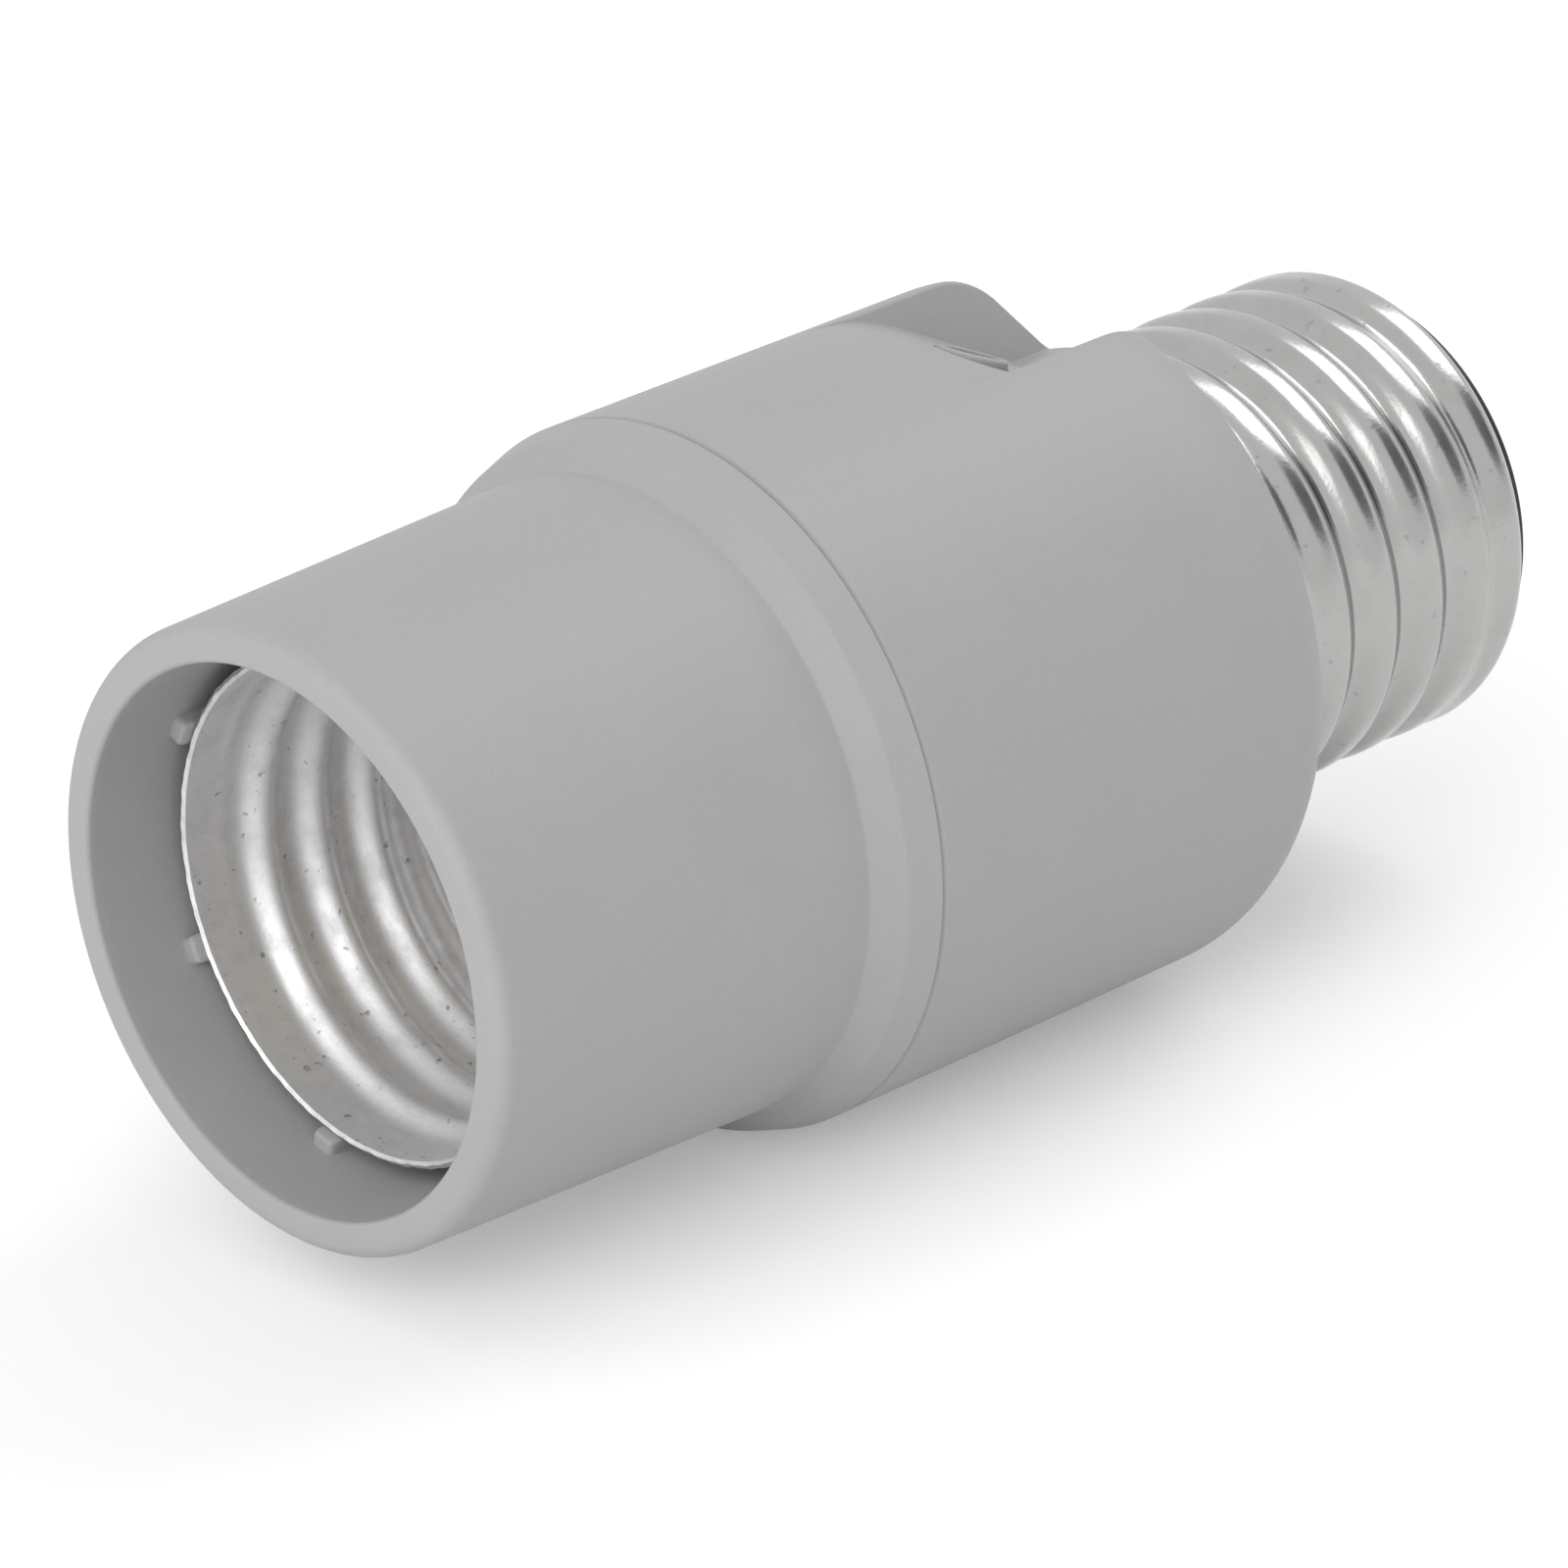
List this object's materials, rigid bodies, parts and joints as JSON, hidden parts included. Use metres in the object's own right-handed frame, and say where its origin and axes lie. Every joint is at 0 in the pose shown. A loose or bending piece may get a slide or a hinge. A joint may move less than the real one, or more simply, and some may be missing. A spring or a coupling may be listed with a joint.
{
  "type": "screw-in lamp socket with light sensor",
  "caption": "Grey plastic lamp socket adapter with a screw base, a screw socket for a lamp and a light sensor set in a notch of its drum.",
  "frame": {"origin": "on the lamp axis, in the plane where the screw base leaves the drum's rear", "axes": "+X along the lamp axis towards the base's contact tip; +Z out of the sensor notch; +Y = Z cross X"},
  "size_m": [0.0833, 0.0386, 0.0386],
  "materials": {
    "grey_plastic": "fine moulded grain",
    "socket_metal": "satin, drawn and rolled sheet",
    "base_metal": "bright nickel plate",
    "contact_brass": "bright rolled strip",
    "rivet_metal": "satin",
    "black_insulator": "glossy moulded",
    "solder": "dull satin solder",
    "board": "paper laminate",
    "photocell_face": "clear resin over the sensing track",
    "can_sleeve": "shrink sleeve",
    "film_box": "moulded box",
    "black_epoxy": "moulded epoxy",
    "resistor_coat": "lacquered",
    "wire_black": "insulated wire",
    "wire_white": "insulated wire"
  },
  "bodies": {
    "housing": {"socket_sleeve": "grey_plastic", "rear_housing": "grey_plastic", "socket_shell": "socket_metal", "shell_rivets": "rivet_metal", "base_shell": "base_metal", "base_insulator": "black_insulator", "base_contact": "contact_brass", "contact_solder": "solder", "circuit_board": "board", "photocell": "photocell_face", "smoothing_capacitor": "can_sleeve", "film_capacitor": "film_box", "thyristor": "black_epoxy", "transistor": "black_epoxy", "rectifier_diodes": "black_epoxy", "resistors": "resistor_coat", "line_wire": "wire_black", "neutral_wire": "wire_white", "load_wire": "wire_black", "shell_wire": "wire_white"},
    "contact": {"centre_contact": "contact_brass"}
  },
  "joints": [
    {"name": "contact_flex", "type": "hinge", "parent": "housing", "child": "contact", "pos_m": [-0.0373, 0, -0.0055], "axis": [0, 1, 0], "range_deg": [0, 6], "stiffness_Nm_per_rad": 0.2}
  ]
}
